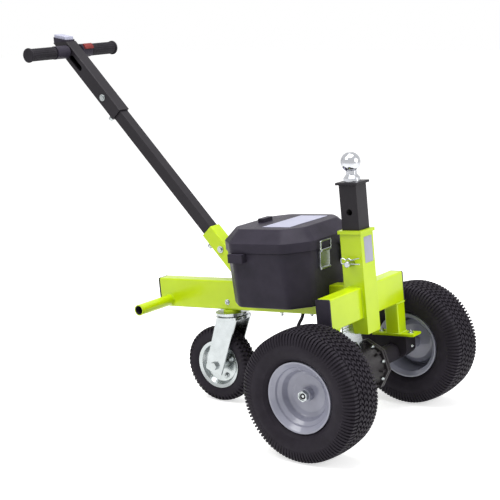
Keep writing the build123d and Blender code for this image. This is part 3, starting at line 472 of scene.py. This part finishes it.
class Wheel:
    """Places round a wheel's axle, which runs along Y."""

    def __init__(self, centre):
        self.centre = centre

    def point(self, turn, offset, radius):
        return self.centre + Vector((radius * cos(turn), offset, radius * sin(turn)))

    def carcass(self, bm, wall, crown, steps):
        """The tyre's skin, from one bead over the tread to the other, closed inside."""
        profile = wall + crown + [(-offset, radius) for offset, radius in reversed(wall)]
        rings = [
            [bm.verts.new(self.point(2 * pi * i / steps, offset, radius)) for i in range(steps)]
            for offset, radius in profile]
        skin(bm, rings, close_along=True)

    def row(self, bm, pitches, inner, outer, share, slant, shift, low, top, side):
        """A ring of blocks between two offsets; low and top give the radius at an offset."""
        pitch = 2 * pi / pitches
        for i in range(pitches):
            start = pitch * (i + shift)
            foot, head = [], []
            for offset, turn in [
                (inner, 0), (inner, share), (outer, share + slant), (outer, slant)]:
                centre = share / 2 + (0 if offset == inner else slant)
                drawn = centre + (turn - centre) * (1 - BLOCK_DRAFT)
                level = offset + (BLOCK_INSET if offset == inner else -BLOCK_INSET)
                foot.append(self.point(start + pitch * turn, side * offset, low(offset)))
                head.append(self.point(start + pitch * drawn, side * level, top(level)))
            block(bm, foot, head)

    def shoulder(self, bm, pitches, share, shift, line, sunk, side):
        """Bars that run over the tread's edge and down the wall, sunk into it by inset and depth."""
        inset, depth = sunk
        bar = 2 * pi / pitches * share
        for i in range(pitches):
            start = 2 * pi / pitches * (i + shift)
            rings = []
            for offset, radius in line:
                low, high = (side * (offset - inset), radius - depth), (side * offset, radius)
                rings.append([
                    bm.verts.new(self.point(start + bar * turn, *place))
                    for turn, place in [(0, low), (BAR_DRAFT, high), (1 - BAR_DRAFT, high), (1, low)]])
            closed(bm, rings)


def crown_radius(top, drop, half):
    return lambda offset: top - drop * (offset / half) ** 2


def crown_line(half, steps, radius):
    offsets = [half * CROWN_SHARE * k / steps for k in range(steps, -steps - 1, -1)]
    return [(offset, radius(offset)) for offset in offsets]


def drive_tyre(centre):
    wheel = Wheel(centre)
    top = crown_radius(TYRE_R, TREAD_DROP, TREAD_HALF)
    low = crown_radius(TYRE_R - TREAD_DEPTH, TREAD_DROP, TREAD_HALF)
    bars = [(offset, top(offset)) for offset in (SHOULDER_INNER, SHOULDER_EDGE)] + SHOULDER_FOOT

    def build(bm):
        wheel.carcass(bm, TYRE_WALL, crown_line(TREAD_HALF, CROWN_STEPS, low), TYRE_STEPS)
        for side in (-1, 1):
            turned = side * SIDE_SHIFT
            for inner, outer, share, slant, shift in TREAD_ROWS:
                wheel.row(
                    bm, TREAD_PITCHES, inner, outer, share, slant, shift + turned, low, top, side)
            wheel.shoulder(
                bm, SHOULDER_PITCHES, SHOULDER_SHARE, SHOULDER_SHIFT + turned, bars, SHOULDER_SUNK, side)
    return build


for side_name, side in [("right", -1), ("left", 1)]:
    hub = AXLE + LEFT * side * HALF_TRACK
    tyre = piece(f"tread_{side_name}", drive_tyre(hub), f"wheel_{side_name}", "tyre_rubber")
    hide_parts(f"tyre_{side_name}")


def caster_tyre(bm):
    wheel = Wheel(middle("caster_tyre"))
    top = crown_radius(CASTER_R, CASTER_CROWN, CASTER_TREAD_HALF)
    low = crown_radius(CASTER_R - CASTER_DEPTH, CASTER_CROWN, CASTER_TREAD_HALF)
    bars = [
        (CASTER_BAR_INNER, top(CASTER_BAR_INNER)),
        (CASTER_BAR_OUTER, top(CASTER_TREAD_HALF))] + CASTER_BAR_FOOT
    wheel.carcass(bm, CASTER_WALL, crown_line(CASTER_TREAD_HALF, CASTER_CROWN_STEPS, low), CASTER_STEPS)
    for side in (-1, 1):
        turned = side * SIDE_SHIFT
        for inner, outer, share, slant, shift in CASTER_ROWS:
            wheel.row(bm, CASTER_KNOBS, inner, outer, share, slant, shift + turned, low, top, side)
        wheel.shoulder(
            bm, CASTER_KNOBS, CASTER_BAR_SHARE, CASTER_BAR_SHIFT + turned, bars, CASTER_BAR_SUNK, side)


caster = piece("tread_caster", caster_tyre, "caster_wheel", "tyre_rubber")
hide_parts("caster_tyre")

# Bolts, washers and screws
LOOKS = {"near": -LEFT, "far": LEFT, "up": UP, "down": -UP, "front": FORWARD}


def hex_bolt(bm, place, radius, height):
    """A washer and a chamfered hexagon head with its stub of thread."""
    washer, stub = radius * WASHER_SHARE, radius * STUB_SHARE
    seat = WASHER_RINGS[-1][0]
    drop, narrowed = HEAD_CHAMFER
    stack(bm, place, 24, [(level, washer * share) for level, share in WASHER_RINGS])
    stack(bm, place, 6, [(seat, radius), (height - drop, radius), (height, radius * narrowed)])
    stack(bm, place, 16, [(height + level, stub * share) for level, share in STUB_RINGS])


def frame_bolts(bm):
    for where, look, radius, height in BOLTS:
        hex_bolt(bm, facing(at(*where), LOOKS[look], FORWARD + UP * 0.4 + LEFT * 0.3), radius, height)


def gear_bolts(bm):
    for i in range(GEAR_BOLTS):
        turn = GEAR_BOLT_TURN + 2 * pi * i / GEAR_BOLTS
        where = at(GEAR_BOLT_CIRCLE * cos(turn), GEAR_FLANGE_NEAR, GEAR_BOLT_CIRCLE * sin(turn))
        hex_bolt(bm, facing(where, -LEFT, FORWARD), *GEAR_BOLT_SIZE)


def rim_bolts(bm):
    centre = middle("caster_rim")
    for side in (-1, 1):
        for i in range(RIM_BOLTS):
            turn = RIM_BOLT_TURN + 2 * pi * i / RIM_BOLTS
            spoke = Vector((cos(turn), 0, sin(turn))) * RIM_BOLT_CIRCLE
            where = centre + spoke + LEFT * side * CASTER_WEB_HALF
            hex_bolt(bm, facing(where, LEFT * side, UP), *RIM_BOLT_SIZE)


# Dark cups lining the bore 60 mm in from each end of the lift bar, which darken it
def dark_bore_cups(bm):
    bar = middle("lift_bar")
    for side in (-1, 1):
        stack(bm, facing(bar + LEFT * side * BAR_HALF, LEFT * side, UP), 32, BORE_CUP_RINGS)


# Dark dished cap at the shaft end in each hub nut: the dish is modelled, and its dark colour is painted
# shade of the nut's hollow
def hub_dark_cap(side):
    def build(bm):
        shaft_end = AXLE + LEFT * side * (HALF_TRACK + SHAFT_OUT)
        stack(bm, facing(shaft_end, LEFT * side, UP), 20, DARK_CAP_RINGS)
    return build


piece("lift_bar_dark_cups", dark_bore_cups, "frame", "black_plastic")
piece("hub_dark_cap_right", hub_dark_cap(-1), "wheel_right", "cast")
piece("hub_dark_cap_left", hub_dark_cap(1), "wheel_left", "cast")
piece("frame_bolts", frame_bolts, "frame", "zinc")
piece("gear_bolts", gear_bolts, "frame", "zinc")
piece("caster_rim_bolts", rim_bolts, "caster_wheel", "zinc")


# Weld beads
def bead(bm, start, end):
    """A rippled seam from one point to another."""
    along = end - start
    count = max(3, round(along.length / WELD_STEP))
    place = facing(start, along, UP if abs(along.normalized().dot(UP)) < 0.9 else FORWARD)
    rings = []
    for i in range(count + 1):
        share = WELD_MEAN + WELD_RIPPLE * cos(pi * i) - (WELD_END if i in (0, count) else 0)
        rings.append((along.length * i / count, WELD_R * share))
    stack(bm, place, WELD_SIDES, rings)


def seam(bm, outline):
    """Beads round a closed outline."""
    for start, end in zip(outline, outline[1:] + outline[:1]):
        bead(bm, start, end)


def rectangle(one, two):
    """The corners of the rectangle between two spans, in turn."""
    return [(one[0], two[0]), (one[1], two[0]), (one[1], two[1]), (one[0], two[1])]


def green_welds(bm):
    for side in (-1, 1):
        seam(bm, [at(u, side * POST_HALF, w) for u, w in rectangle(CROSS_SPAN, BEAM_SPAN)])
        for level in LEG_ENDS:
            seam(bm, [at(u, side * v, level) for u, v in rectangle(CROSS_SPAN, LEG_SPAN)])
        bead(bm, *[at(u, side * BEAM_HALF, BEAM_SPAN[1]) for u in SOCKET_SPAN])
        turns = [2 * pi * i / LIFT_BAR_BEADS for i in range(LIFT_BAR_BEADS)]
        seam(bm, [
            at(LIFT_BAR[0] + LIFT_BAR_R * cos(turn), side * BEAM_HALF, LIFT_BAR[1] + LIFT_BAR_R * sin(turn))
            for turn in turns])
    bead(bm, *[at(SOCKET_SPAN[0], v, BEAM_SPAN[1]) for v in (-BEAM_HALF, BEAM_HALF)])
    seam(bm, [at(POST_REAR, v, w) for v, w in rectangle((-BEAM_HALF, BEAM_HALF), BEAM_SPAN)])


def black_welds(bm):
    half = (-BALL_TUBE_HALF, BALL_TUBE_HALF)
    seam(bm, [at(BALL_TUBE + u, v, BALL_TUBE_TOP) for u, v in rectangle(half, half)])


piece("welds_green", green_welds, "frame", "green")
piece("welds_black", black_welds, "frame", "black_tube")


# Blank label, a thin sheet with round corners
def label(bm):
    place = facing(at(POST_FRONT, LABEL_MIDDLE[0], LABEL_MIDDLE[1]), FORWARD, LEFT)
    width, height = LABEL_SIZE
    rings = []
    for level, inset in ((0, 0), (LABEL_T * LABEL_ROUND, 0), (LABEL_T, LABEL_T)):
        radius = LABEL_CORNER - inset
        ring = []
        for k, (sx, sy) in enumerate([(1, 1), (-1, 1), (-1, -1), (1, -1)]):
            for i in range(LABEL_CORNER_STEPS + 1):
                turn = pi / 2 * (k + i / LABEL_CORNER_STEPS)
                ring.append(bm.verts.new(place @ Vector((
                    sx * (width / 2 - LABEL_CORNER) + radius * cos(turn),
                    sy * (height / 2 - LABEL_CORNER) + radius * sin(turn),
                    level))))
        rings.append(ring)
    closed(bm, rings)


piece("post_label", label, "frame", "pale_panel")


# Stay between the cross beam and the gear housing, with rolled ribs
def stay(bm):
    closed(bm, [
        [bm.verts.new(at(face, v, w)) for v, w in STAY_OUTLINE]
        for face in (STAY_FACE - STAY_T, STAY_FACE)])
    for w in STAY_RIBS:
        stack(bm, facing(at(STAY_FACE, STAY_RIB_END, w), LEFT, UP), 10, STAY_RIB_RINGS)


piece("gear_stay", stay, "frame", "zinc")


# Lengthwise ribs on the grips
def grip_ribs(bm):
    bar = middle("handlebar")
    for side in (-1, 1):
        for i in range(GRIP_RIBS):
            turn = 2 * pi * i / GRIP_RIBS
            out = FORWARD * cos(turn) + UP * sin(turn)
            across = UP * cos(turn) - FORWARD * sin(turn)
            middle_line = bar + out * (GRIP_R - GRIP_RIB_SUNK)
            rise = out * (GRIP_RIB + GRIP_RIB_SUNK)
            foot, head = [], []
            for y, x in [(GRIP_SPAN[0], -1), (GRIP_SPAN[0], 1), (GRIP_SPAN[1], 1), (GRIP_SPAN[1], -1)]:
                low = middle_line + LEFT * side * y + across * x * GRIP_RIB_FOOT * GRIP_RIB
                inward = GRIP_RIB_INSET if y == GRIP_SPAN[0] else -GRIP_RIB_INSET
                foot.append(low)
                head.append(low + rise - across * x * GRIP_RIB + LEFT * side * inward)
            block(bm, foot, head)


piece("grip_ribs", grip_ribs, "frame", "grip_rubber")

# Lead from the beam to the motor, and the tapered boot where it goes into the motor
route = [at(u, LEAD_SIDE, w) for u, w in LEAD_ROUTE]
line = bpy.data.curves.new("motor_cable", "CURVE")
line.dimensions = "3D"
line.bevel_depth = LEAD_D / 2
line.bevel_resolution = 4
line.use_fill_caps = True
run = line.splines.new("NURBS")
run.points.add(len(route) - 1)
for point, place in zip(run.points, route):
    point.co = (*place, 1)
run.order_u = 3
run.use_endpoint_u = True
line.materials.append(FINISH["grip_rubber"])
lead = bpy.data.objects.new("motor_cable", line)
scene.collection.objects.link(lead)
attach(lead, "frame")
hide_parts("motor_lead")


def lead_boot(bm):
    stack(bm, facing(route[-1], -FORWARD, UP), 24, BOOT_RINGS)


piece("lead_boot", lead_boot, "frame", "grip_rubber")

# Camera at the photograph's angle
AZIMUTH = radians(36.213)
ELEVATION = radians(11.557)
ROLL = radians(2.358)
FOCAL_PX = 1307.6
PHOTO_PX = 500
SENSOR = 36
CLIP_END = 50
EYE = Vector((1.6634, -2.7482, 0.966)) + AXLE
back = Vector((sin(AZIMUTH) * cos(ELEVATION), -cos(AZIMUTH) * cos(ELEVATION), sin(ELEVATION)))
level = Vector((cos(AZIMUTH), sin(AZIMUTH), 0))
lens = bpy.data.cameras.new("camera")
lens.sensor_width = SENSOR
lens.lens = FOCAL_PX / PHOTO_PX * SENSOR
lens.clip_end = CLIP_END
camera = bpy.data.objects.new("camera", lens)
scene.collection.objects.link(camera)
camera.matrix_world = facing(EYE, back, cos(ROLL) * level - sin(ROLL) * back.cross(level))
scene.camera = camera

# Floor and room: white to the camera, and the floor keeps the shadow
FLOOR_SIZE = 30
FLOOR_DROP = 0.0005
FLOOR_GREY = 0.85
FLOOR_ROUGH = 0.9
FLOOR_GLOW = 0.6
ROOM_LIGHT = 0.5


def seen(tree):
    """1 for rays that show the backdrop itself: from the camera, in a reflection or through glass."""
    path = tree.nodes.new("ShaderNodeLightPath")
    value = path.outputs["Is Camera Ray"]
    for ray in ("Is Glossy Ray", "Is Transmission Ray"):
        either = tree.nodes.new("ShaderNodeMath")
        either.operation = "MAXIMUM"
        tree.links.new(value, either.inputs[0])
        tree.links.new(path.outputs[ray], either.inputs[1])
        value = either.outputs["Value"]
    return value


bpy.ops.mesh.primitive_plane_add(size=FLOOR_SIZE, location=(0, 0, -FLOOR_DROP))
floor = bpy.context.object
floor.name = "floor"
floor_paint, tree, bsdf = shader("floor")
bsdf.inputs["Base Color"].default_value = (FLOOR_GREY, FLOOR_GREY, FLOOR_GREY, 1)
bsdf.inputs["Roughness"].default_value = FLOOR_ROUGH
bsdf.inputs["Emission Color"].default_value = (1, 1, 1, 1)
glow = tree.nodes.new("ShaderNodeMath")
glow.operation = "MULTIPLY"
glow.inputs[1].default_value = FLOOR_GLOW
tree.links.new(seen(tree), glow.inputs[0])
tree.links.new(glow.outputs["Value"], bsdf.inputs["Emission Strength"])
floor.data.materials.append(floor_paint)

# Room
room = bpy.data.worlds.new("room")
scene.world = room
room.use_nodes = True
tree = room.node_tree
background = tree.nodes["Background"]
background.inputs["Color"].default_value = (1, 1, 1, 1)
span = tree.nodes.new("ShaderNodeMapRange")
span.inputs["To Min"].default_value = ROOM_LIGHT
span.inputs["To Max"].default_value = 1
tree.links.new(seen(tree), span.inputs["Value"])
tree.links.new(span.outputs["Result"], background.inputs["Strength"])


LAMP_AIM = Vector((0, 0, 0.4))


def lamp(name, place, size, power):
    light = bpy.data.lights.new(name, "AREA")
    light.size = size
    light.energy = power
    made = bpy.data.objects.new(name, light)
    scene.collection.objects.link(made)
    made.matrix_world = facing(Vector(place), Vector(place) - LAMP_AIM, (1, 0, 0))


lamp("key", (-0.8, -2.2, 3.2), 1.6, 46)
lamp("front", (3.1, 0.7, 1.5), 1.8, 42)
lamp("top", (0.4, -0.3, 3.2), 2.0, 85)
